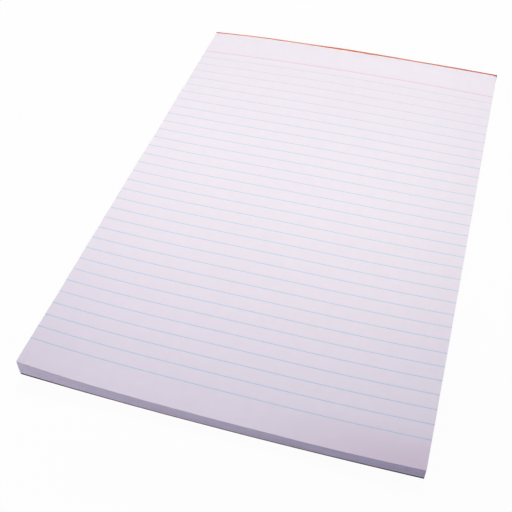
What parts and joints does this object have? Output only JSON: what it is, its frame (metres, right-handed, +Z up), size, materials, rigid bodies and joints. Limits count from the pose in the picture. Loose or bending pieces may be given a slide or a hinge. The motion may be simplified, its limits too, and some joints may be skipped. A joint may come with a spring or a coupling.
{
  "type": "writing pad",
  "caption": "Gummed A4 writing pad: white feint-ruled leaves with a header rule on a greyboard back, bound along the head by a red film of padding gum.",
  "frame": {"origin": "middle of the pad's outline, on the surface that it lies on", "axes": "+X across the sheet to the reader's right, +Y along the sheet to the gummed head, +Z up through the ruled face"},
  "size_m": [0.21, 0.2976, 0.0179],
  "materials": {
    "bond_paper": "matte",
    "greyboard": "matte",
    "padding_gum": "satin",
    "blue_ink": "matte",
    "pink_ink": "matte"
  },
  "bodies": {
    "root": {"ruled_leaves": "bond_paper", "backing_board": "greyboard", "head_gum": "padding_gum", "feint_rules": "blue_ink", "header_rule": "pink_ink"}
  },
  "joints": []
}
